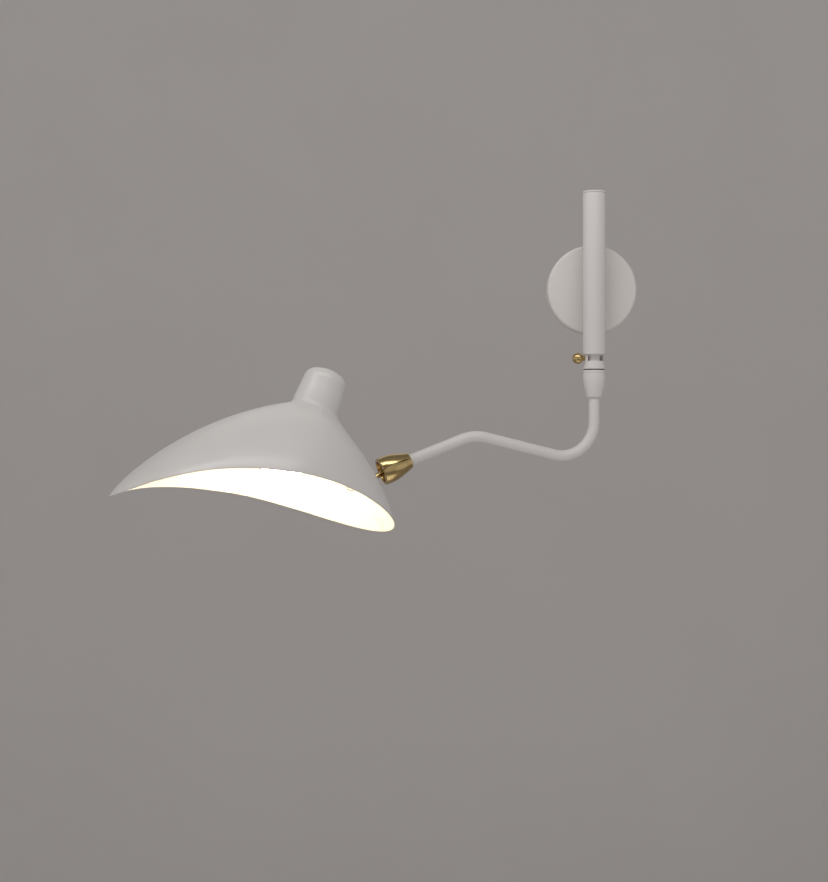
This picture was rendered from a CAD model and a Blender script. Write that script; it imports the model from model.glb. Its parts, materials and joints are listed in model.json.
# %% [markdown]
# # A swing arm wall sconce
#
# The lamp is a short upright tube on a round wall plate, an arm that swings under the tube, a
# brass ball joint and a hooded metal shade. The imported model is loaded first. It holds every
# piece in metres, at the place where it belongs, so nothing here is fitted or moved by eye.

import json
from math import asin, atan2, cos, degrees, pi, radians, sin, sqrt, tan

import bmesh
import bpy
from mathutils import Matrix, Vector

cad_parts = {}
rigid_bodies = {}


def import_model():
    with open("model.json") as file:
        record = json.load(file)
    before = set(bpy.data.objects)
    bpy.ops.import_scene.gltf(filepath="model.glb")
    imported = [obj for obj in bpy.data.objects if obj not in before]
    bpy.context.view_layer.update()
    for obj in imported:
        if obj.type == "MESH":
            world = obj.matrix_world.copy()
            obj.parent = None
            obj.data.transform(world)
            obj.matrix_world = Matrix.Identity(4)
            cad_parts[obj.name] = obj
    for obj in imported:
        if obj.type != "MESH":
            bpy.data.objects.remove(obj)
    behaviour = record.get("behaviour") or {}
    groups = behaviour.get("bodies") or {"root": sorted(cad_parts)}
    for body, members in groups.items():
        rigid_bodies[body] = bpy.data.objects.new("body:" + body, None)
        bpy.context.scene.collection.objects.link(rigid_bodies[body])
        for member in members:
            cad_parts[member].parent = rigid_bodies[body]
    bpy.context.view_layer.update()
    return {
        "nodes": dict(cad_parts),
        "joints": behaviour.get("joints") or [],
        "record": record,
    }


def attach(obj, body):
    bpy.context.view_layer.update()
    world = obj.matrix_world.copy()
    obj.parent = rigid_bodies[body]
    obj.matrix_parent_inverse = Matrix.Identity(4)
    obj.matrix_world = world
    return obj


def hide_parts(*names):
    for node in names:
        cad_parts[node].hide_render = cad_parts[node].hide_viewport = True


for unused in [o for o in bpy.data.objects if o.name in ("Cube", "Light", "Camera")]:
    bpy.data.objects.remove(unused)
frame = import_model()
scene = bpy.context.scene

# %% [markdown]
# ## The camera, the lights and the studio
#
# The sconce is seen from straight in front of its wall, from a little below the wall plate. A long
# soft lamp hangs high in front. A wide one fills from low on the left, one throws light up from
# below, and a last one lights the back. A pale sweep of paper stands far behind the sconce in
# place of the wall, so that its back can be looked at too.

# %% Camera
VIEWPOINT, LENS = (-0.2, -1.9, -0.17), 72.7
bpy.ops.object.camera_add(location=VIEWPOINT, rotation=(pi / 2, 0, 0))
camera = bpy.context.object
camera.data.lens = LENS
camera.data.sensor_fit = "HORIZONTAL"
camera.data.sensor_width = 36
camera.data.clip_start = 0.01
scene.camera = camera
print("camera looks along +Y through a", LENS, "mm lens")

# %% Soft lights
AIM = Vector((-0.2, -0.08, -0.1))


def soft_light(name, place, size, watts, colour):
    bpy.ops.object.light_add(type="AREA", location=place)
    light = bpy.context.object
    light.name = name
    light.data.shape = "RECTANGLE"
    light.data.size, light.data.size_y = size
    light.data.energy = watts
    light.data.color = colour
    light.visible_camera = False
    light.rotation_euler = (AIM - Vector(place)).to_track_quat("-Z", "Y").to_euler()


soft_light("window_light", (-0.35, -0.8, 1.0), (2.3, 0.3), 11, (1.0, 0.99, 0.975))
soft_light("fill_light", (-1.3, -1.7, -0.7), (1.4, 1.4), 3.5, (0.99, 1.0, 1.0))
soft_light("bounce_light", (0.1, -0.6, -1.3), (1.6, 0.9), 3.5, (1.0, 1.0, 0.99))
soft_light("back_light", (-0.3, 2.2, 1.6), (2.0, 1.2), 3, (1.0, 0.98, 0.96))

# %% Paper sweep
FLOOR, PAPER_WIDTH, PAPER_HEIGHT = -1.75, 9, 7
bpy.ops.object.select_all(action="DESELECT")
bpy.ops.mesh.primitive_plane_add(size=PAPER_WIDTH, location=(0, -1.0, FLOOR))
sweep = bpy.context.object
sweep.name = "paper_sweep"
bpy.ops.object.mode_set(mode="EDIT")
bpy.ops.mesh.select_all(action="DESELECT")
mesh = bmesh.from_edit_mesh(sweep.data)
for edge in mesh.edges:
    edge.select_set(all(v.co.y > 0 for v in edge.verts))
bmesh.update_edit_mesh(sweep.data)
bpy.ops.mesh.extrude_region_move(TRANSFORM_OT_translate={"value": (0, 0, PAPER_HEIGHT)})
bpy.ops.object.mode_set(mode="OBJECT")
bend = sweep.modifiers.new("bend", "BEVEL")
bend.width = 1.2
bend.segments = 12
bpy.ops.object.modifier_apply(modifier="bend")
bpy.ops.object.shade_smooth_by_angle(angle=radians(40))
print("sweep:", len(sweep.data.polygons), "faces")

# %% [markdown]
# ## Shader maths as plain expressions
#
# A material's pattern is a sum of masks. Wrapping a socket in a small class lets Python's own
# signs add the Math nodes, so that a mask reads like the sentence that describes it. Every other
# node comes from one method, which sets the node up and then feeds its sockets.

# %% Wire: a socket that can be added and multiplied
class Wire:
    def __init__(self, socket):
        self.socket = socket

    def feed(self, inlet, value):
        if isinstance(value, Wire):
            self.socket.id_data.links.new(value.socket, inlet)
        else:
            inlet.default_value = value

    def node(self, kind, settings, inputs, output=0):
        new = self.socket.id_data.nodes.new(kind)
        for name, value in settings.items():
            setattr(new, name, value)
        for name, value in inputs.items():
            self.feed(new.inputs[name], value)
        return Wire(new.outputs[output])

    def maths(self, operation, *values):
        return self.node("ShaderNodeMath", {"operation": operation}, dict(enumerate(values)))

    def __add__(self, other):
        return self.maths("ADD", self, other)

    def __radd__(self, other):
        return self.maths("ADD", other, self)

    def __rsub__(self, other):
        return self.maths("SUBTRACT", other, self)

    def __mul__(self, other):
        return self.maths("MULTIPLY", self, other)

    def sine(self):
        return self.maths("SINE", self)

    # A soft noise from 0 to 1 whose blotches are [size] metres across
    def cloud(self, size, detail=2.0):
        return self.node("ShaderNodeTexNoise", {}, {"Vector": self, "Scale": 1 / size, "Detail": detail})

    # 0 below [low], 1 above [high], and a smooth rise between
    def rise(self, low, high):
        return self.node("ShaderNodeMapRange", {"interpolation_type": "SMOOTHSTEP"},
                         {"Value": self, "From Min": low, "From Max": high})

    def mix(self, first, second):
        return self.node("ShaderNodeMix", {"data_type": "RGBA"}, {0: self, 6: first, 7: second}, 2)

    def dot(self, direction):
        return self.node("ShaderNodeVectorMath", {"operation": "DOT_PRODUCT"},
                         {0: self, 1: tuple(direction)}, 1)

    def bump(self, distance, strength=1.0):
        return self.node("ShaderNodeBump", {}, {"Height": self, "Distance": distance, "Strength": strength})


class Finish:
    def __init__(self, name, **sockets):
        self.material = bpy.data.materials.new(name)
        self.material.use_nodes = True
        nodes = self.material.node_tree.nodes
        self.shader = nodes["Principled BSDF"]
        self.place = Wire(nodes.new("ShaderNodeTexCoord").outputs["Object"])
        self.set(**sockets)

    def set(self, **sockets):
        for name, value in sockets.items():
            self.place.feed(self.shader.inputs[name.replace("_", " ")], value)


def tint(red, green, blue):
    return (red, green, blue, 1.0)


print("Wire and Finish are ready")

# %% [markdown]
# ## Powder coat
#
# The tubes, the plate and the shade are powder coated: a satin off-white skin with a fine orange
# peel, a slight cloudiness in its colour and a few places where hands have polished it. Two scales
# of noise make the peel, and a much larger one shifts the colour and the roughness by a little.

# %% Powder coat
def powder_coat(name, light, dark, roughness, peel=0.00003):
    coat = Finish(name, IOR=1.5)
    place = coat.place
    cloudy = place.cloud(0.09, 3.0)
    handled = place.cloud(0.035, 2.0).rise(0.42, 0.75)
    skin = place.cloud(0.0016, 1.0) + place.cloud(0.0006, 1.0) * 0.4
    specks = place.cloud(0.0011, 0.0).rise(0.76, 0.82)
    colour = cloudy.rise(0.25, 0.75).mix(light, dark)
    coat.set(Base_Color=(specks * 0.12).mix(colour, tint(0.42, 0.40, 0.37)),
             Roughness=roughness - handled * 0.07 + cloudy * 0.06,
             Normal=skin.bump(peel, 0.7))
    return coat.material


tube_coat = powder_coat("tube_powder_coat", tint(0.69, 0.65, 0.635), tint(0.66, 0.625, 0.61), 0.40)
plate_coat = powder_coat("plate_powder_coat", tint(0.70, 0.655, 0.635), tint(0.665, 0.625, 0.605), 0.46)
shade_coat = powder_coat("shade_powder_coat", tint(0.70, 0.665, 0.645), tint(0.665, 0.635, 0.615), 0.32)
inner_coat = powder_coat("inside_gloss_coat", tint(0.93, 0.905, 0.86), tint(0.90, 0.87, 0.825), 0.30, 0.00002)
print("coats:", [m.name for m in (tube_coat, plate_coat, shade_coat, inner_coat)])

# %% [markdown]
# ## Turned brass
#
# The ball joint and the knob are turned on a lathe, so fine rings run round their axis. The rings
# are a wave on the distance along that axis, broken up by noise, and they only tip the surface.
# Lacquer over the brass stays bright where it is handled and goes brown in patches elsewhere.

# %% Brass
TOOL_MARKS = 0.0031


def turned_brass(name, axis, pitch, tarnish):
    metal = Finish(name, Metallic=1.0, Coat_Weight=0.25, Coat_Roughness=0.12)
    place = metal.place
    along = place.dot(axis)
    rings = ((along + place.cloud(0.004) * 0.0003) * (2 * pi / pitch)).sine()
    wide = (along * (2 * pi / TOOL_MARKS)).sine()
    brown = (place.cloud(0.009, 4.0) + wide * 0.05).rise(0.42, 0.72) * tarnish
    scuffs = place.cloud(0.0022, 3.0).rise(0.58, 0.66)
    metal.set(Base_Color=brown.mix(tint(0.60, 0.44, 0.195), tint(0.27, 0.18, 0.07)),
              Roughness=0.21 + brown * 0.1 + scuffs * 0.06,
              Normal=(rings * 0.6 + place.cloud(0.0012)).bump(0.000005, 0.5))
    return metal.material


plain_brass = turned_brass("plain_brass", (0, 0, 1), 0.0008, 0.8)
knob_brass = turned_brass("knob_brass", (1, 0, 0), 0.0005, 0.55)
print("brasses:", plain_brass.name, knob_brass.name)

# %% [markdown]
# ## Zinc plate, nylon, porcelain, cable and opal glass
#
# The hidden pieces have finishes of their own. Zinc plate shows pale crystals, which cells of a
# Voronoi pattern give. Moulded nylon has a fine grain and porcelain a thick even glaze. The globe
# is opal glass that glows all over, a little less towards the cap where the lamp sits in it.

# %% Other finishes
CRYSTAL = 0.0024
GLOW_FADES = 0.03


def zinc_plate():
    metal = Finish("zinc_plate", Metallic=1.0)
    place = metal.place
    crystals = place.node("ShaderNodeTexVoronoi", {}, {"Vector": place, "Scale": 1 / CRYSTAL}, 1)
    tone = crystals.dot((0.6, 0.3, 0.1))
    streaks = place.node("ShaderNodeMapping", {}, {"Vector": place, "Scale": (60, 60, 2400)}).cloud(1.0, 3.0)
    metal.set(Base_Color=tone.mix(tint(0.50, 0.51, 0.52), tint(0.66, 0.66, 0.64)),
              Roughness=0.30 + tone * 0.14 + streaks * 0.08,
              Normal=streaks.bump(0.00001, 0.4))
    return metal.material


def black_nylon():
    plastic = Finish("moulded_nylon", IOR=1.5)
    grain = plastic.place.cloud(0.0005, 1.0)
    worn = plastic.place.cloud(0.006, 3.0)
    plastic.set(Base_Color=worn.rise(0.3, 0.7).mix(tint(0.022, 0.022, 0.022), tint(0.05, 0.048, 0.046)),
                Roughness=0.42 + grain * 0.2, Normal=grain.bump(0.00002, 0.6))
    return plastic.material


def porcelain():
    glaze = Finish("glazed_porcelain", Coat_Weight=0.8, Coat_Roughness=0.05)
    pooled = glaze.place.cloud(0.012, 2.0)
    glaze.set(Base_Color=pooled.rise(0.3, 0.7).mix(tint(0.82, 0.80, 0.75), tint(0.74, 0.71, 0.65)),
              Roughness=0.16 + pooled * 0.1, Normal=pooled.bump(0.0001, 0.3))
    return glaze.material


def cable_sheath():
    skin = Finish("sheath_skin", IOR=1.48)
    mottle = skin.place.cloud(0.003, 2.0)
    skin.set(Base_Color=mottle.mix(tint(0.66, 0.64, 0.60), tint(0.74, 0.73, 0.69)),
             Roughness=0.38 + mottle * 0.14, Normal=mottle.bump(0.00004, 0.4))
    return skin.material


def opal_glass(centre, cap_direction):
    glass = Finish("lit_opal", Roughness=0.3, Coat_Weight=0.5, Emission_Strength=38.0)
    middle = Vector(centre).dot(cap_direction)
    near_cap = glass.place.dot(cap_direction).rise(middle, middle + GLOW_FADES)
    streaks = glass.place.cloud(0.02, 2.0)
    glow = (near_cap * 0.6 + streaks * 0.15).mix(tint(1.0, 0.86, 0.56), tint(0.95, 0.66, 0.30))
    glass.set(Base_Color=streaks.mix(tint(0.95, 0.92, 0.86), tint(0.88, 0.85, 0.78)), Emission_Color=glow)
    return glass.material


zinc, nylon, glaze, sheath = zinc_plate(), black_nylon(), porcelain(), cable_sheath()
print("finishes:", zinc.name, nylon.name, glaze.name, sheath.name)

# %% [markdown]
# ## The room
#
# The paper is matt. The room's own light is brighter from below than from above, as among pale
# walls under a dark ceiling, which keeps the undersides light and gives the brass its dark bands.

# %% Paper and soft room light
paper = Finish("sweep_paper", Roughness=0.9)
fibres = paper.place.cloud(0.5, 3.0)
paper.set(Base_Color=fibres.mix(tint(0.66, 0.62, 0.60), tint(0.70, 0.66, 0.635)))
sweep.data.materials.append(paper.material)
world = bpy.data.worlds.new("room")
world.use_nodes = True
room = world.node_tree.nodes
height = Wire(room.new("ShaderNodeTexCoord").outputs["Generated"]).dot((0, 0, 1))
pale, dim = tint(0.93, 0.93, 0.93), tint(0.34, 0.34, 0.34)
height.feed(room["Background"].inputs["Color"], height.rise(0.1, 0.7).mix(pale, dim))
room["Background"].inputs["Strength"].default_value = 0.6
scene.world = world
scene.view_settings.view_transform = "Standard"
print("room light:", world.name)

# %% [markdown]
# ## Working in millimetres
#
# A lamp is drawn in millimetres, so the outlines below are too, and one helper turns them into
# metres. A turned piece starts as a plane that is merged to one point. The point is extruded along
# the outline and the outline is spun, as when a glass is modelled by hand, so a wall, a groove or
# a rounded shoulder is only a few more points.

# %% Outlines, turned pieces and finished pieces
MM = 0.001
SIDES = 96


def only(piece):
    bpy.ops.object.select_all(action="DESELECT")
    piece.select_set(True)
    bpy.context.view_layer.objects.active = piece


def arc(across, along, radius, start, end, steps=8):
    angles = [radians(start + (end - start) * i / steps) for i in range(steps + 1)]
    return [(across + radius * cos(a), along + radius * sin(a)) for a in angles]


def drawn(name, points):
    """A plane merged to a point, and the point extruded through (x, z) places in millimetres"""
    bpy.ops.object.select_all(action="DESELECT")
    x, z = points[0]
    bpy.ops.mesh.primitive_plane_add(size=MM, location=(0, 0, 0))
    piece = bpy.context.object
    piece.name = name
    bpy.ops.object.mode_set(mode="EDIT")
    bpy.ops.mesh.select_all(action="SELECT")
    bpy.ops.mesh.merge(type="CENTER")
    bpy.ops.transform.translate(value=(x * MM, 0, z * MM))
    for (x, z), (next_x, next_z) in zip(points, points[1:]):
        step = ((next_x - x) * MM, 0, (next_z - z) * MM)
        bpy.ops.mesh.extrude_vertices_move(TRANSFORM_OT_translate={"value": step})
    return piece


def modify(piece, kind, **settings):
    only(piece)
    modifier = piece.modifiers.new(kind.lower(), kind)
    for name, value in settings.items():
        setattr(modifier, name, value)
    bpy.ops.object.modifier_apply(modifier=modifier.name)


def soften(piece, width, corner=32, segments=3):
    modify(piece, "BEVEL", width=width * MM, segments=segments, limit_method="ANGLE",
           angle_limit=radians(corner), use_clamp_overlap=True)


def turned(name, outline, soft=0.0, sides=SIDES):
    """Spins an outline of (radius, height) about z. An outline that leaves the axis closes on itself"""
    on_axis = outline[0][0] == 0 and outline[-1][0] == 0
    piece = drawn(name, outline if on_axis else outline + outline[:1])
    bpy.ops.mesh.select_all(action="SELECT")
    bpy.ops.mesh.spin(steps=sides, angle=2 * pi, center=(0, 0, 0), axis=(0, 0, 1))
    bpy.ops.mesh.select_all(action="SELECT")
    bpy.ops.mesh.remove_doubles(threshold=0.001 * MM)
    bpy.ops.mesh.normals_make_consistent(inside=False)
    bpy.ops.object.mode_set(mode="OBJECT")
    if soft:
        soften(piece, soft)
    return piece


def carve(piece, *tools):
    for tool in tools:
        modify(piece, "BOOLEAN", operation="DIFFERENCE", object=tool, solver="EXACT")
        bpy.data.objects.remove(tool)
    return piece


def as_cutter(turn):
    """The shape that was just added, turned to where it cuts"""
    cutter = bpy.context.object
    bpy.ops.object.transform_apply()
    if turn is not None:
        cutter.matrix_world = turn
        bpy.ops.object.transform_apply()
    return cutter


def peg(radius, low, high, x=0.0, y=0.0, turn=None, sides=48):
    """A round cutter about z, or about another axis once it is turned"""
    bpy.ops.object.select_all(action="DESELECT")
    bpy.ops.mesh.primitive_cylinder_add(vertices=sides, radius=radius * MM, depth=(high - low) * MM,
                                        location=(x * MM, y * MM, (low + high) / 2 * MM))
    return as_cutter(turn)


def chunk(size, place, turn=None):
    """A square cutter of [size] at [place], in millimetres"""
    bpy.ops.object.select_all(action="DESELECT")
    bpy.ops.mesh.primitive_cube_add(size=1, location=[p * MM for p in place], scale=[s * MM for s in size])
    return as_cutter(turn)


def fit(piece, place, body, slot, finish, *nodes, smooth=35):
    """Carries a piece to its place, gives it a finish and lets it stand for CAD nodes"""
    only(piece)
    piece.matrix_world = place
    bpy.ops.object.transform_apply(location=True, rotation=True, scale=True)
    bpy.ops.object.shade_smooth_by_angle(angle=radians(smooth))
    if finish is not None:
        piece.data.materials.clear()
        piece.data.materials.append(finish)
    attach(piece, body)
    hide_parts(*nodes)
    spans = [round(s / MM, 1) for s in piece.dimensions]
    print(f"{piece.name}: {len(piece.data.polygons)} faces, {spans} mm")


def shift(x, y, z):
    return Matrix.Translation((x * MM, y * MM, z * MM))


def spun(angle, axis):
    return Matrix.Rotation(radians(angle), 4, axis)


print("helpers are ready")

# %% [markdown]
# ## Where each group of pieces stands
#
# The wall pieces are drawn with z out of the wall and the swivel's round the upright tube. The
# arm leaves the tube at 14.8 degrees from the wall, the cup looks along the arm's last stretch,
# the stem tilts in the cup, and the shade and its lamp follow the stem.

# %% Places
GAP = 0.3              # clearance between two pieces
CABLE_HOLE = 5.3       # radius of the hollow way that the cable and the threaded pipes take
STANDOFF, TUBE_LOW, TUBE_TOP, TUBE_RADIUS = 43, -74, 105, 12.5
SWING = 14.8
CORNERS = [Vector((0, 0, -196.4)), Vector((139.2, 0, -163.1)), Vector((211.1, 0, -190.8))]
BENDS = [38, 47]
CUP_LENGTH, BALL_DEPTH, BALL_RADIUS = 34.8, 10, 8
STEM_REACH, STEM_TILT, TILT_SIDE, STEM_SPIN = 28.6, 13.3, 58.6, 1.9

wall_place = spun(90, "X")
tube_place = shift(0, -STANDOFF, 0)
arm_place = tube_place @ spun(180 + SWING, "Z")
last_run = CORNERS[2] - CORNERS[1]
arm_slope = degrees(atan2(last_run.z, last_run.x))
cup_place = arm_place @ Matrix.Translation(CORNERS[2] * MM) @ spun(90 - arm_slope, "Y")
ball_place = cup_place @ shift(0, 0, CUP_LENGTH - BALL_DEPTH) @ spun(TILT_SIDE, "Z") @ spun(STEM_TILT, "Y")
joints = {joint["name"]: joint for joint in frame["joints"]}
ball_centre = Vector(joints["ball_tilt"]["pos_m"])
print("ball centre off its joint by", round((ball_place.translation - ball_centre).length * 1000, 4), "mm")

# %% [markdown]
# ## Wall plate
#
# A pressed cover with a softly rounded front edge hides a flat steel bracket. The cover is open at
# the back, so it is a turned outline with an inner and an outer side. The bracket is a disc, and
# its holes are cut out of it with round and square tools, as a punch would.

# %% Cover and stub
COVER, DEPTH, WALL, EDGE = 50, 23, 1.5, 3
outer_corner = arc(COVER - EDGE, DEPTH - EDGE, EDGE, 0, 90, 10)
inner_corner = arc(COVER - WALL - EDGE + 1, DEPTH - WALL - EDGE + 1, EDGE - 1, 90, 0, 6)
cover = turned("plate_cover", [(COVER - 0.3, GAP), (COVER, GAP + 0.3), *outer_corner, (CABLE_HOLE, DEPTH),
                               (CABLE_HOLE, DEPTH - WALL), *inner_corner, (COVER - WALL, GAP)], sides=144)
fit(cover, wall_place, "wall_side", "white_paint", plate_coat, "wall_cover")

STUB = 8
stub = turned("plate_stub", [(CABLE_HOLE, DEPTH + GAP), (STUB - 0.4, DEPTH + GAP), (STUB, DEPTH + GAP + 0.4),
                             (STUB, STANDOFF - 8), (CABLE_HOLE, STANDOFF - 8)])
carve(stub, peg(TUBE_RADIUS + GAP, -40, 40, turn=shift(0, 0, STANDOFF) @ spun(90, "X"), sides=96))
fit(stub, wall_place, "wall_side", "white_paint", plate_coat, "stub")

# %% Bracket behind the cover
BRACKET, PLATE, SLOT_WIDTH, SLOT_RUN, SCREW_HOLE, ENTRY = 43, 2, 5, 9, 1.9, 7
bracket = turned("bracket_disc", [(0, 0), (BRACKET, 0), (BRACKET, PLATE), (0, PLATE)], soft=0.25)
slots = []
for x in (-35, 35):
    ends = [peg(SLOT_WIDTH / 2, -5, 5, x, y) for y in (SLOT_RUN / 2, -SLOT_RUN / 2)]
    slots += [chunk((SLOT_WIDTH, SLOT_RUN, 10), (x, 0, 0)), *ends]
holes = [peg(SCREW_HOLE, -5, 5, x, y) for x, y in ((-22, 0), (22, 0), (0, 26))]
carve(bracket, peg(ENTRY, -5, 5, 0, -27), *holes, *slots)
fit(bracket, wall_place, "wall_side", "steel", zinc, "wall_bracket")

# %% [markdown]
# ## Upright tube
#
# The tube is a plain 25 mm pipe with a thin wall. Its cap is a separate pressed piece, very
# slightly domed, that leaves a hairline under its rim, and a plug holds it in the tube.

# %% Tube and cap
BORE = TUBE_RADIUS - 1.5
tube = turned("upright_pipe", [(BORE, TUBE_LOW), (TUBE_RADIUS, TUBE_LOW), (TUBE_RADIUS, TUBE_TOP),
                               (BORE, TUBE_TOP)], soft=0.25, sides=128)
carve(tube, peg(CABLE_HOLE, 0, 30, turn=spun(-90, "X")))
fit(tube, tube_place, "wall_side", "white_paint", tube_coat, "upright_tube")

PLUG = BORE - GAP
cap_low = TUBE_TOP + GAP
dome = [*arc(TUBE_RADIUS - 1, cap_low + 1, 1, 0, 80, 6), (6, cap_low + 2.28), (0, cap_low + 2.4)]
cap = turned("upright_cap", [(0, TUBE_TOP - 8), (PLUG, TUBE_TOP - 8), (PLUG, cap_low), (TUBE_RADIUS, cap_low),
                             *dome], sides=128)
fit(cap, tube_place, "wall_side", "white_paint", tube_coat, "tube_cap")

# %% [markdown]
# ## Swivel
#
# Under the tube a waisted collar holds a hollow pin that carries the arm. A window in the front of
# the collar shows the pin, and a small brass knob at its side presses a stud against it. The knob
# is a ball on a short neck, drawn as one outline.

# %% Collar with its window
COLLAR_LOW, COLLAR_TOP = TUBE_LOW - 16.2, TUBE_LOW + 15
WAIST, FOOT, LIP, PIN = 10.6, 12, 0.9, 7.5
WINDOW, WINDOW_SHIFT = (17, 6.2), 1
window_middle = TUBE_LOW - GAP - LIP - WINDOW[1] / 2
under = TUBE_LOW - GAP
waist_end = under - WINDOW[1] - 2 * LIP
pin_bore, bush = PIN + GAP, PIN + 2 * GAP + 1.6
KNOB_REACH, KNOB, STUD = 18.2, 6.2, 2.3
collar = turned("swivel_housing", [
    (pin_bore, COLLAR_LOW), (FOOT, COLLAR_LOW), (FOOT, COLLAR_LOW + 1), (FOOT - 0.25, COLLAR_LOW + 2.2),
    (WAIST + 0.35, waist_end - 0.6), (WAIST, waist_end + 0.4), (WAIST, under - LIP / 2),
    (TUBE_RADIUS - 0.4, under), (PLUG, under), (PLUG, COLLAR_TOP), (bush, COLLAR_TOP),
    (bush, COLLAR_TOP - 10), (pin_bore, COLLAR_TOP - 10)], soft=0.2, sides=128)
carve(collar, chunk((WINDOW[0], 20, WINDOW[1]), (WINDOW_SHIFT, -10 - GAP, window_middle)),
      peg(STUD + GAP, 0, 20, turn=shift(0, 0, window_middle) @ spun(-90, "Y")))
fit(collar, tube_place, "wall_side", "white_paint", tube_coat, "swivel_collar")

# %% Knob
knob_place = tube_place @ shift(-KNOB_REACH, 0, window_middle) @ spun(90, "Y")
stud_end = KNOB_REACH - PIN - GAP
knob = turned("clamp_knob", [(0, -KNOB), *arc(0, 0, KNOB, -84, 66, 22), (2.75, 6.0), (STUD, 6.8),
                             (STUD, stud_end - 0.4), (STUD - 0.4, stud_end), (0, stud_end)], sides=64)
fit(knob, knob_place, "thumb_screw", "brass", knob_brass, "thumb_screw", smooth=50)

# %% Pin, washer and ferrule
FERRULE_TOP = COLLAR_LOW - 2 * GAP - 0.6
PIN_TOP, PIN_BORE = COLLAR_TOP + 10, 4.2
SOCKET = 12
pin_low = FERRULE_TOP - SOCKET + GAP
groove = [(PIN, window_middle - 2.6), (PIN - 0.4, window_middle - 2.2), (PIN - 0.4, window_middle + 2.2),
          (PIN, window_middle + 2.6)]
pin = turned("swivel_pin", [(PIN_BORE, pin_low), (PIN, pin_low), *groove, (PIN, PIN_TOP),
                            (PIN_BORE, PIN_TOP)], soft=0.12)
fit(pin, arm_place, "swing_arm", "white_paint", tube_coat, "spindle")

washer_low, washer_top = FERRULE_TOP + GAP, FERRULE_TOP + GAP + 0.6
washer = turned("friction_ring", [(pin_bore, washer_low), (FOOT - 0.4, washer_low), (FOOT - 0.4, washer_top),
                                  (pin_bore, washer_top)], soft=0.12)
fit(washer, arm_place, "swing_arm", "black_nylon", nylon, "swivel_washer")

FERRULE, FERRULE_END, ARM = 12.25, 8.3, 6
ferrule_low, taper = FERRULE_TOP - 30, FERRULE_TOP - 13
ferrule = turned("reducing_ferrule", [
    (ARM + GAP, ferrule_low), (FERRULE_END - 0.6, ferrule_low), (FERRULE_END, ferrule_low + 0.6),
    (9.6, ferrule_low + 6.4), (FERRULE - 1.1, taper - 5), (FERRULE - 0.45, taper - 1.6),
    (FERRULE - 0.12, taper + 1), (FERRULE, taper + 3), (FERRULE, FERRULE_TOP - 3.7),
    (FERRULE - 0.35, FERRULE_TOP - 3.45), (FERRULE - 0.35, FERRULE_TOP - 2.95), (FERRULE, FERRULE_TOP - 2.7),
    (FERRULE, FERRULE_TOP - 0.5), (FERRULE - 0.5, FERRULE_TOP), (pin_bore, FERRULE_TOP),
    (pin_bore, FERRULE_TOP - SOCKET), (ARM + GAP, FERRULE_TOP - SOCKET)], soft=0.1, sides=128)
fit(ferrule, arm_place, "swing_arm", "white_paint", tube_coat, "ferrule")

# %% [markdown]
# ## Bent arm
#
# The arm is one 12 mm tube bent twice. It is made the way a tube bender makes it: a ring is
# extruded down to where a bend starts, spun about the bend's centre by the bend's angle, and
# extruded again to the next one. A bend starts and ends at the same setback from its corner. A wall
# is then given to the whole skin.

# %% Arm
bpy.ops.object.select_all(action="DESELECT")
arm_top = Vector((0, 0, FERRULE_TOP - 13))
bpy.ops.mesh.primitive_circle_add(vertices=48, radius=ARM * MM, location=arm_top * MM)
arm = bpy.context.object
arm.name = "bent_tube"
bpy.ops.object.transform_apply()
bpy.ops.object.mode_set(mode="EDIT")
bpy.ops.mesh.select_all(action="SELECT")
here, headings = arm_top, [(b - a).normalized() for a, b in zip([arm_top, *CORNERS], CORNERS)]
for corner, radius, into, out in zip(CORNERS, BENDS, headings, headings[1:]):
    angle = into.angle(out)
    setback = radius * tan(angle / 2)
    start = corner - into * setback
    bpy.ops.mesh.extrude_region_move(TRANSFORM_OT_translate={"value": (start - here) * MM})
    axis = into.cross(out).normalized()
    centre = start + axis.cross(into) * radius
    bpy.ops.mesh.spin(steps=20, angle=-angle, center=centre * MM, axis=axis)
    here = corner + out * setback
    ring = [v.co.copy() for v in bmesh.from_edit_mesh(arm.data).verts if v.select]
    print("bend of", round(degrees(angle), 1), "degrees, off by",
          round((sum(ring, Vector()) / len(ring) / MM - here).length, 3), "mm")
bpy.ops.mesh.extrude_region_move(TRANSFORM_OT_translate={"value": (CORNERS[2] - here) * MM})
bpy.ops.mesh.select_all(action="SELECT")
bpy.ops.mesh.remove_doubles(threshold=0.001 * MM)
bpy.ops.mesh.normals_make_consistent(inside=False)
bpy.ops.object.mode_set(mode="OBJECT")
modify(arm, "SOLIDIFY", thickness=WALL * MM, offset=-1)
soften(arm, 0.2, 60)
fit(arm, arm_place, "swing_arm", "white_paint", tube_coat, "arm_tube")

# %% [markdown]
# ## Ball joint
#
# The cup is a turned brass barrel, fullest near its mouth. A slit runs along it and ends in a
# wide notch at the mouth, so that the stem can fold right over. Inside it a ring holds the ball
# on a nylon seat. The barrel's brass gets lathe rings round the cup's own axis.

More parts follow.
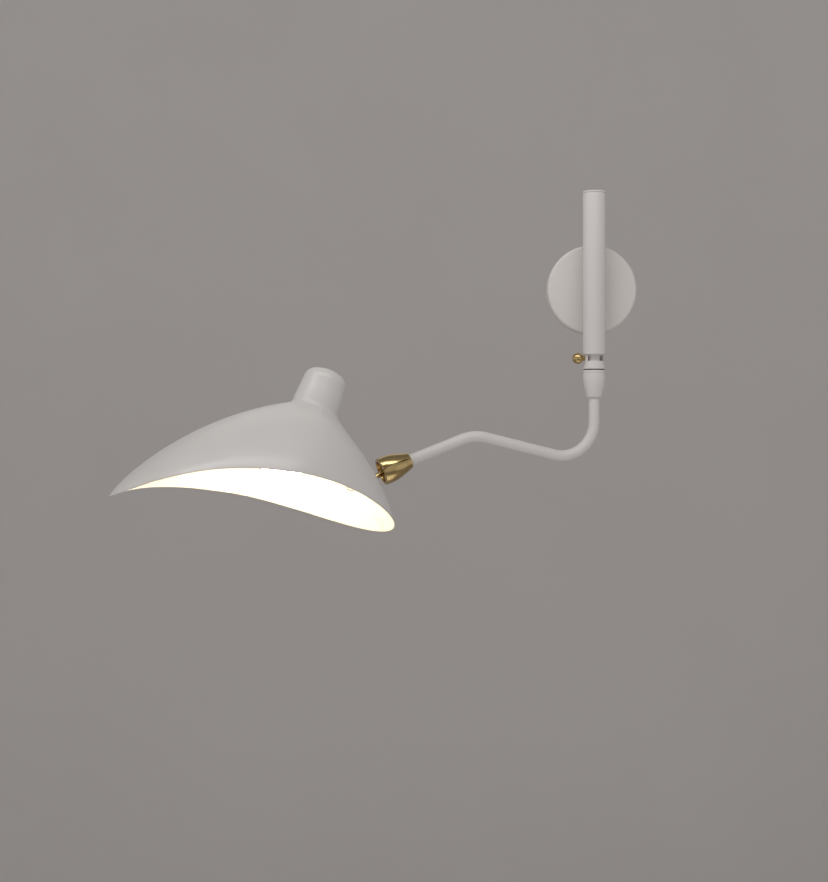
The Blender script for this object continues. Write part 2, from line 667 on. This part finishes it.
# %% Cup
CUP_END, CUP_MOUTH, FULLEST, FULL = 8.6, 14.8, 28, 15.2
CAVITY, CUP_FLOOR, CUP_BORE = CUP_MOUTH - 3.2, 12.3, 5.5
NOTCH_WIDTH, NOTCH_DEPTH, NOTCH_ANGLE, SLIT_WIDTH = 4, 4.5, 72, 0.9
along_cup = cup_place.to_3x3() @ Vector((0, 0, 1))
cup_brass = turned_brass("cup_brass", along_cup, 0.00045, 0.45)
barrel = [(CUP_END + (FULL - CUP_END) * sin(t * pi / 2) ** 1.15, GAP + FULLEST * t)
          for t in [i / 14 for i in range(1, 14)]]
mouth = [(FULL - (FULL - CUP_MOUTH) * t ** 1.6, FULLEST + (CUP_LENGTH - 0.5 - FULLEST) * t)
         for t in (0, 0.25, 0.5, 0.75, 1)]
cup = turned("joint_barrel", [(CUP_BORE, GAP), (CUP_END - 0.5, GAP), (CUP_END, GAP + 0.5), *barrel, *mouth,
                              (CUP_MOUTH - 0.5, CUP_LENGTH), (CAVITY, CUP_LENGTH), (CAVITY, CUP_FLOOR),
                              (CUP_BORE, CUP_FLOOR)], sides=160)
notch_turn = spun(180 - NOTCH_ANGLE, "Z")
carve(cup, chunk((12, NOTCH_WIDTH, 2 * NOTCH_DEPTH), (CUP_MOUTH, 0, CUP_LENGTH), notch_turn),
      chunk((20, SLIT_WIDTH, CUP_LENGTH), (CUP_BORE + 11, 0, 2 + CUP_LENGTH / 2), notch_turn))
soften(cup, 0.18, 50)
fit(cup, cup_place, "joint_cup", "brass", cup_brass, "joint_cup", smooth=40)

# %% Ring and seat inside the cup
BALL_Z, HOLLOW = CUP_LENGTH - BALL_DEPTH, BALL_RADIUS + GAP


def on_ball(z, extra=0.15):
    return (sqrt(max(HOLLOW ** 2 - (z - BALL_Z) ** 2, 0)) + extra, z)


ring_low, ring_high = BALL_Z + 2.2, BALL_Z + 4.8
ring_middle = (ring_low + ring_high) / 2
retainer = turned("cup_retainer", [on_ball(ring_low), (CAVITY - GAP, ring_low), (CAVITY - GAP, ring_high),
                                   on_ball(ring_high, 0.25), on_ball(ring_middle, 0.25)], soft=0.12)
fit(retainer, cup_place, "joint_cup", "brass", cup_brass, "retaining_ring")

# %% Ball and stem
STEM, STEM_HOLE, SHOULDER, SHEET, STRAP = 3, 1.8, STEM_REACH - GAP - 1, 1.3, 1.5
STRAP_LOW = STEM_REACH + SHEET + GAP + 0.7
nut_low = STRAP_LOW + STRAP + 1 + 2 * GAP
stem_top = nut_low + 6
along_stem = ball_place.to_3x3() @ Vector((0, 0, 1))
stem_brass = turned_brass("stem_brass", along_stem, 0.0004, 0.35)
at_hole, at_stem = degrees(asin(STEM_HOLE / BALL_RADIUS)), degrees(asin(STEM / BALL_RADIUS))
ball_arc = arc(0, 0, BALL_RADIUS, -90 + at_hole, 90 - at_stem, 30)
stem = turned("ball_and_stem", [*ball_arc, (STEM, SHOULDER - 2.2), (STEM + 2.6, SHOULDER - 1.6),
                                (STEM + 2.6, SHOULDER - GAP), (STEM, SHOULDER - GAP), (STEM, stem_top),
                                (STEM_HOLE, stem_top)], soft=0.15)
fit(stem, ball_place, "ball_stem", "brass", stem_brass, "ball_stem", smooth=40)

PAD, PAD_TOP = STEM + 2.8, SHOULDER + 0.85
pad = turned("stem_pad", [(STEM + GAP, SHOULDER), (PAD, SHOULDER), (PAD, PAD_TOP), (STEM + GAP, PAD_TOP)],
             soft=0.15, sides=64)
fit(pad, ball_place, "ball_stem", "black_nylon", nylon, "stem_washer")

# %% [markdown]
# ## Nuts
#
# Every nut is the same shape at a different size: a six sided cylinder with its corners rounded off
# by the lathe. A double cone, turned round the same axis, cuts those chamfers, then the bore is
# drilled.

# %% Nuts on the stem and on the lampholder's nipple
def hex_nut(name, flats, bore, low, high):
    bpy.ops.object.select_all(action="DESELECT")
    middle, corner = (low + high) / 2 * MM, flats / sqrt(3)
    bpy.ops.mesh.primitive_cylinder_add(vertices=6, radius=corner * MM, depth=(high - low) * MM,
                                        location=(0, 0, middle))
    nut = bpy.context.object
    nut.name = name
    bpy.ops.object.transform_apply()
    inset, face = (corner - flats / 2) * 0.55, flats / 2 * 0.97
    lens = turned("nut_lens", [(0, low - 0.01), (face, low - 0.01), (corner + 0.01, low + inset),
                               (corner + 0.01, high - inset), (face, high + 0.01), (0, high + 0.01)])
    modify(nut, "BOOLEAN", operation="INTERSECT", object=lens, solver="EXACT")
    bpy.data.objects.remove(lens)
    return carve(nut, peg(bore, low - 1, high + 1))


stem_nut = hex_nut("stem_lock_nut", 9, STEM + GAP, nut_low, nut_low + 5)
fit(stem_nut, ball_place, "ball_stem", "brass", stem_brass, "stem_nut", smooth=20)

# %% [markdown]
# ## The shade's lines
#
# Three lines give the hood its shape: one from the neck down the front to the tip, one down the back
# and one down each side. Between them the skin is round near the neck and boat shaped at the rim,
# which rises at both sides. A short round neck leans back over the ball joint.

# %% Lines of the hood
LENGTH, HALF_WIDTH, WIDEST, ARCH, STEM_SEAT = 302, 115, 147, 32.8, 50.5
NECK_FOOT, NECK_LEAN, NECK, NECK_TOP, NECK_HEIGHT = (96.5, 116.6), 14.9, 25.5, 23.4, 47.4
LAMP_LEAN, HOOD_DROP, HOOD_START = 21, -1.5, 27.9
foot_x, foot_z = NECK_FOOT


def leaning(lean):
    """Places in the shade's middle plane by height up an axis through the neck's foot, and across it"""
    c, s = cos(radians(lean)), sin(radians(lean))
    return lambda height, across: (foot_x - s * height + c * across, foot_z + c * height + s * across)


on_neck, on_lamp = leaning(NECK_LEAN), leaning(LAMP_LEAN)


def smooth_line(a, b, c, d):
    """A cubic between a and d that leaves a towards b and reaches d from c"""
    def at(t):
        weights = ((1 - t) ** 3, 3 * t * (1 - t) ** 2, 3 * t * t * (1 - t), t ** 3)
        return tuple(sum(w * p[i] for w, p in zip(weights, (a, b, c, d))) for i in (0, 1))
    return at


front_top, back_top = on_neck(HOOD_DROP, HOOD_START), on_neck(HOOD_DROP, -HOOD_START)
side_top = (HOOD_START, on_neck(HOOD_DROP, 0)[1])
front_line = smooth_line(front_top, (front_top[0] + 102, front_top[1] - 27.2), (LENGTH - 9.4, 22.8),
                         (LENGTH, 0))
back_line = smooth_line(back_top, (back_top[0] - 16.7, back_top[1] - 32.9), (23.5, 56.7), (0, 0))
side_line = smooth_line(side_top, (side_top[0] + 33.2, side_top[1] - 9), (HALF_WIDTH - 7.2, ARCH + 40.1),
                        (HALF_WIDTH, ARCH))
print("rim:", back_line(1), side_line(1), front_line(1))

# %% [markdown]
# The stem goes square through the back line, at a given height over the rim. Halving the line again
# and again finds that place, and two places close to it give the slope.

# %% Where the stem goes through the back
near, far = 0.0, 1.0
while far - near > 1e-6:
    halfway = (near + far) / 2
    near, far = (halfway, far) if back_line(halfway)[1] > STEM_SEAT else (near, halfway)
seat, before, after = back_line(near), back_line(near - 1e-4), back_line(near + 1e-4)
fall = 90 - degrees(atan2(before[1] - after[1], before[0] - after[0]))
fall_x, fall_z = cos(radians(fall)), -sin(radians(fall))
ball_x, ball_z = seat[0] - STEM_REACH * fall_x, seat[1] - STEM_REACH * fall_z
shade_turned = ball_place @ spun(STEM_SPIN - TILT_SIDE, "Z") @ spun(-(90 + fall), "Y")
shade_place = shade_turned @ shift(-ball_x, 0, -ball_z)
stem_in_shade = shift(ball_x, 0, ball_z) @ spun(90 + fall, "Y")
lamp_in_shade = shift(foot_x, 0, foot_z) @ spun(-LAMP_LEAN, "Y")
lamp_place = shade_place @ lamp_in_shade
print("the stem falls", round(fall, 2), "degrees in the shade's frame")

# %% [markdown]
# ## Shade
#
# The skin is one sheet, spun and pressed. A disc is extruded ring by ring from the neck's crown down
# to the rim, and each new ring is laid on the lines above, since no single operator turns a round
# neck into a boat. Solidify then gives the sheet its wall, with the glossy inner coat on the inner
# side, and a subdivision surface rounds it all, the rolled edge at the rim too.

# %% Rings of the shade
AROUND = 64


def lerp(a, b, t):
    return a + (b - a) * t


def hood_ring(t):
    front, back, side = front_line(t), back_line(t), side_line(t)
    middle = lerp(on_neck(HOOD_DROP, 0)[0], WIDEST, t)
    ring = []
    for i in range(AROUND):
        c, s = cos(2 * pi * i / AROUND), sin(2 * pi * i / AROUND)
        end, sharp = (front, 2.7) if c > 0 else (back, 1.7)
        rise = abs(c) ** lerp(1, sharp, t)
        ring.append((middle + (end[0] - middle) * abs(c), side[0] * s, side[1] + (end[1] - side[1]) * rise))
    return ring


def neck_ring(radius, height):
    turns = [2 * pi * i / AROUND for i in range(AROUND)]
    places = [(on_neck(height, radius * cos(a)), radius * sin(a)) for a in turns]
    return [(x, y, z) for (x, z), y in places]


crown = [(4.0, NECK_HEIGHT - 0.15), (9.5, NECK_HEIGHT - 0.95)]
shoulder = arc(NECK_TOP - 12, NECK_HEIGHT - 14.6, 12, 72, 0, 6)
sleeve = [(NECK_TOP + 0.12, 30), (NECK_TOP + 0.45, 25), (NECK - 0.75, 18), (NECK - 0.3, 12), (NECK, 6),
          (NECK + 0.25, 2.4), (NECK + 0.8, 0.3)]
down_the_hood = [0, 0.03, 0.07, 0.12, 0.18, *[0.24 + 0.08 * i for i in range(9)], 0.93, 0.975, 0.994, 1]
rings = [neck_ring(*place) for place in [*crown, *shoulder, *sleeve]] + [hood_ring(t) for t in down_the_hood]
print(len(rings), "rings of", AROUND)

# %% Extrude the rings, give the sheet its wall and round it
DISC, STEP = 4, Vector((0, 0, -MM))
bpy.ops.object.select_all(action="DESELECT")
bpy.ops.mesh.primitive_circle_add(vertices=AROUND, radius=DISC * MM, fill_type="TRIFAN", location=(0, 0, 0))
hood = bpy.context.object
hood.name = "hooded_shade"
bpy.ops.object.mode_set(mode="EDIT")
bpy.ops.mesh.select_all(action="SELECT")
bpy.ops.mesh.region_to_loop()


def lay_ring(before, places):
    """Moves each selected vertex from the place it has in one ring to its place in another"""
    cage = bmesh.from_edit_mesh(hood.data)
    for vertex in [v for v in cage.verts if v.select]:
        nearest = min(range(AROUND), key=lambda i: (before[i] - vertex.co).length)
        vertex.co = Vector(places[nearest]) * MM
    bmesh.update_edit_mesh(hood.data)


disc = bmesh.from_edit_mesh(hood.data)
hub = next(v for v in disc.verts if not v.select)
hub.co = Vector((on_neck(NECK_HEIGHT, 0)[0], 0, on_neck(NECK_HEIGHT, 0)[1])) * MM
lay_ring([Vector((x, y, 0)) * MM for x, y in arc(0, 0, DISC, 0, 360, AROUND)], rings[0])
for before, places in zip(rings, rings[1:]):
    bpy.ops.mesh.extrude_region_move(TRANSFORM_OT_translate={"value": STEP})
    lay_ring([Vector(place) * MM + STEP for place in before], places)
bpy.ops.mesh.select_all(action="SELECT")
bpy.ops.mesh.normals_make_consistent(inside=False)
bpy.ops.object.mode_set(mode="OBJECT")
hood.data.materials.append(shade_coat)
hood.data.materials.append(inner_coat)
modify(hood, "SOLIDIFY", thickness=SHEET * MM, offset=-1, use_even_offset=True, material_offset=1)
modify(hood, "SUBSURF", levels=1, render_levels=1)
carve(hood, peg(STEM + GAP, STEM_REACH - 8, STEM_REACH + 10, turn=stem_in_shade))
fit(hood, shade_place, "shade", "shade_paint", None, "shade", smooth=50)

# %% [markdown]
# ## Lampholder and bulb
#
# A flat steel strap is clamped behind the stem's nut and folds over the middle of the shade, where
# a short threaded nipple carries the lampholder. The strap is a flat edge extruded along its
# route, with its folds rounded. The holder is two turned shells of glazed porcelain, and the bulb
# is a small opal globe with a threaded cap.

# %% Strap
STRAP_WIDTH, STRAP_UP, FOLD = 12, 4, 3
strap_mid = STRAP_LOW - STEM_REACH + STRAP / 2
strap_x, strap_z = seat[0] + fall_x * strap_mid, seat[1] + fall_z * strap_mid
route = [(strap_x - fall_z * d, strap_z + fall_x * d) for d in (-8, 10)]
route += [on_lamp(-10, -21.6), on_lamp(STRAP_UP, -15), on_lamp(STRAP_UP, 12)]
strap = drawn("lamp_strap", route)
bpy.ops.mesh.select_all(action="SELECT")
bpy.ops.transform.translate(value=(0, -STRAP_WIDTH / 2 * MM, 0))
bpy.ops.mesh.extrude_edges_move(TRANSFORM_OT_translate={"value": (0, STRAP_WIDTH * MM, 0)})
folds = bmesh.from_edit_mesh(strap.data)
for edge in folds.edges:
    edge.select_set(len(edge.link_faces) == 2)
bmesh.update_edit_mesh(strap.data)
bpy.ops.mesh.bevel(offset=FOLD * MM, segments=6, affect="EDGES")
bpy.ops.mesh.select_all(action="SELECT")
bpy.ops.mesh.normals_make_consistent(inside=False)
bpy.ops.object.mode_set(mode="OBJECT")
modify(strap, "SOLIDIFY", thickness=STRAP * MM, offset=0)
soften(strap, 0.3, 50)
carve(strap, peg(STEM + GAP, STEM_REACH - 4, STEM_REACH + 10, turn=stem_in_shade),
      peg(CABLE_HOLE, -6, 12, turn=lamp_in_shade))
fit(strap, shade_place, "shade", "steel", zinc, "holder_strap", smooth=30)

# %% Nipple nuts
GLOBE, GLOBE_Z, BULB, CAP, CAP_LENGTH, HOLDER = 22.5, -81, 78, 13.2, 26, 19
strap_top, strap_under = STRAP_UP + STRAP / 2, STRAP_UP - STRAP / 2
holder_top, cap_tip = strap_under - GAP - 3, GLOBE_Z - GLOBE + BULB
upper_nut = hex_nut("nipple_nut_upper", 14, CABLE_HOLE, strap_top + GAP, strap_top + GAP + 4)
fit(upper_nut, lamp_place, "shade", "brass", plain_brass, "holder_nut", smooth=20)
lower_nut = hex_nut("nipple_nut_lower", 14, CABLE_HOLE, holder_top + 0.2, strap_under - 0.2)
fit(lower_nut, lamp_place, "shade", "brass", plain_brass, "holder_locknut", smooth=20)

# %% Porcelain shells
seam, SHELL = holder_top - 18, 1.4
inner = HOLDER - SHELL
rounding = [(0, 9), (0.7, 6.2), (2.2, 3.4), (4.6, 1.4), (7.2, 0.35), (9.6, 0)]
holder_cap = turned("porcelain_cap", [
    (HOLDER, seam + GAP), *[(HOLDER - inwards, holder_top - down) for inwards, down in rounding],
    (CABLE_HOLE, holder_top), (CABLE_HOLE, holder_top - SHELL), (HOLDER - 9.6, holder_top - SHELL),
    (HOLDER - 5.2, holder_top - 3.2), (inner, holder_top - 8.4), (inner, seam + GAP)], soft=0.3, sides=128)
fit(holder_cap, lamp_place, "shade", "porcelain", glaze, "lampholder_cap")

skirt_low = cap_tip - CAP_LENGTH - 3
grooves = []
for i in range(3):
    z = lerp(skirt_low, seam, 0.3 + 0.2 * i)
    grooves += [(HOLDER, z - 0.9), (HOLDER - 0.5, z - 0.4), (HOLDER - 0.5, z + 0.4), (HOLDER, z + 0.9)]
foot = [(inner - 1, skirt_low), (HOLDER - 0.6, skirt_low), (HOLDER, skirt_low + 0.6)]
skirt = turned("porcelain_skirt", [*foot, *grooves, (HOLDER, seam), (inner - 1, seam)], soft=0.25, sides=128)
fit(skirt, lamp_place, "shade", "porcelain", glaze, "lampholder_skirt")

# %% Bulb
cap_low = cap_tip - CAP_LENGTH
thread = []
for i in range(5):
    z = cap_low + 3 + 3.6 * i
    thread += [(CAP, z), (CAP - 0.15, z + 0.9), (CAP - 0.8, z + 1.8), (CAP - 0.15, z + 2.7)]
tip = [(CAP, cap_tip - 5), (6, cap_tip - 1.5), (4, cap_tip), (0, cap_tip)]
bulb_cap = turned("threaded_cap", [(0, cap_low), (CAP - 0.6, cap_low), (CAP - 0.6, cap_low + 2.2), *thread,
                                   *tip], soft=0.1)
fit(bulb_cap, lamp_place, "shade", "steel", zinc, "bulb_cap", smooth=60)

glass_top = cap_low - GAP
outside = arc(0, GLOBE_Z, GLOBE, -90, 50, 36)[1:]
inside = arc(0, GLOBE_Z, GLOBE - 1, 50, -90, 36)[:-1]
globe = turned("opal_globe", [
    (0, GLOBE_Z - GLOBE), *outside, (CAP + 0.25, glass_top - 3.6), (CAP, glass_top - 2.2), (CAP, glass_top),
    (CAP - 1, glass_top), (CAP - 1, glass_top - 2.6), *inside, (0, GLOBE_Z - GLOBE + 1)])
globe_centre = lamp_place @ Vector((0, 0, GLOBE_Z * MM))
opal = opal_glass(globe_centre, lamp_place.to_3x3() @ Vector((0, 0, 1)))
fit(globe, lamp_place, "shade", "opal_glass", opal, "bulb_globe", smooth=60)

# %% [markdown]
# ## Cables
#
# One length of cable runs in each body. The one in the shade shows from below: it comes out of the
# stem, passes beside the strap and goes into the nipple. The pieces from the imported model
# have the right route already, so a copy is welded, rounded by a subdivision surface and fitted.

# %% Cable in the shade
wire = frame["nodes"]["cable_shade"].copy()
wire.data = wire.data.copy()
wire.name = "shade_wire"
scene.collection.objects.link(wire)
wire.parent = None
only(wire)
wire.hide_render = False
bpy.ops.object.mode_set(mode="EDIT")
bpy.ops.mesh.select_all(action="SELECT")
bpy.ops.mesh.remove_doubles(threshold=0.001 * MM)
bpy.ops.mesh.tris_convert_to_quads()
bpy.ops.object.mode_set(mode="OBJECT")
modify(wire, "SUBSURF", levels=2, render_levels=2)
fit(wire, Matrix.Identity(4), "shade", "cable_sheath", sheath, "cable_shade", smooth=60)

# %% [markdown]
# ## Finishes for the pieces that stay as they are
#
# Screws, terminals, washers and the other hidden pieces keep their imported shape. Each takes the
# finish that belongs to its material slot in the record.

# %% Finish the remaining CAD nodes
by_slot = {"white_paint": tube_coat, "shade_paint": shade_coat, "brass": plain_brass, "steel": zinc,
           "black_nylon": nylon, "porcelain": glaze, "opal_glass": opal, "cable_sheath": sheath}
kept = []
for part in frame["record"]["subparts"]:
    node = frame["nodes"][part["node"]]
    node.data.materials.clear()
    node.data.materials.append(by_slot[part["material_slot"]])
    if not node.hide_render:
        kept.append(part["node"])
print(len(kept), "CAD nodes stay:", kept)
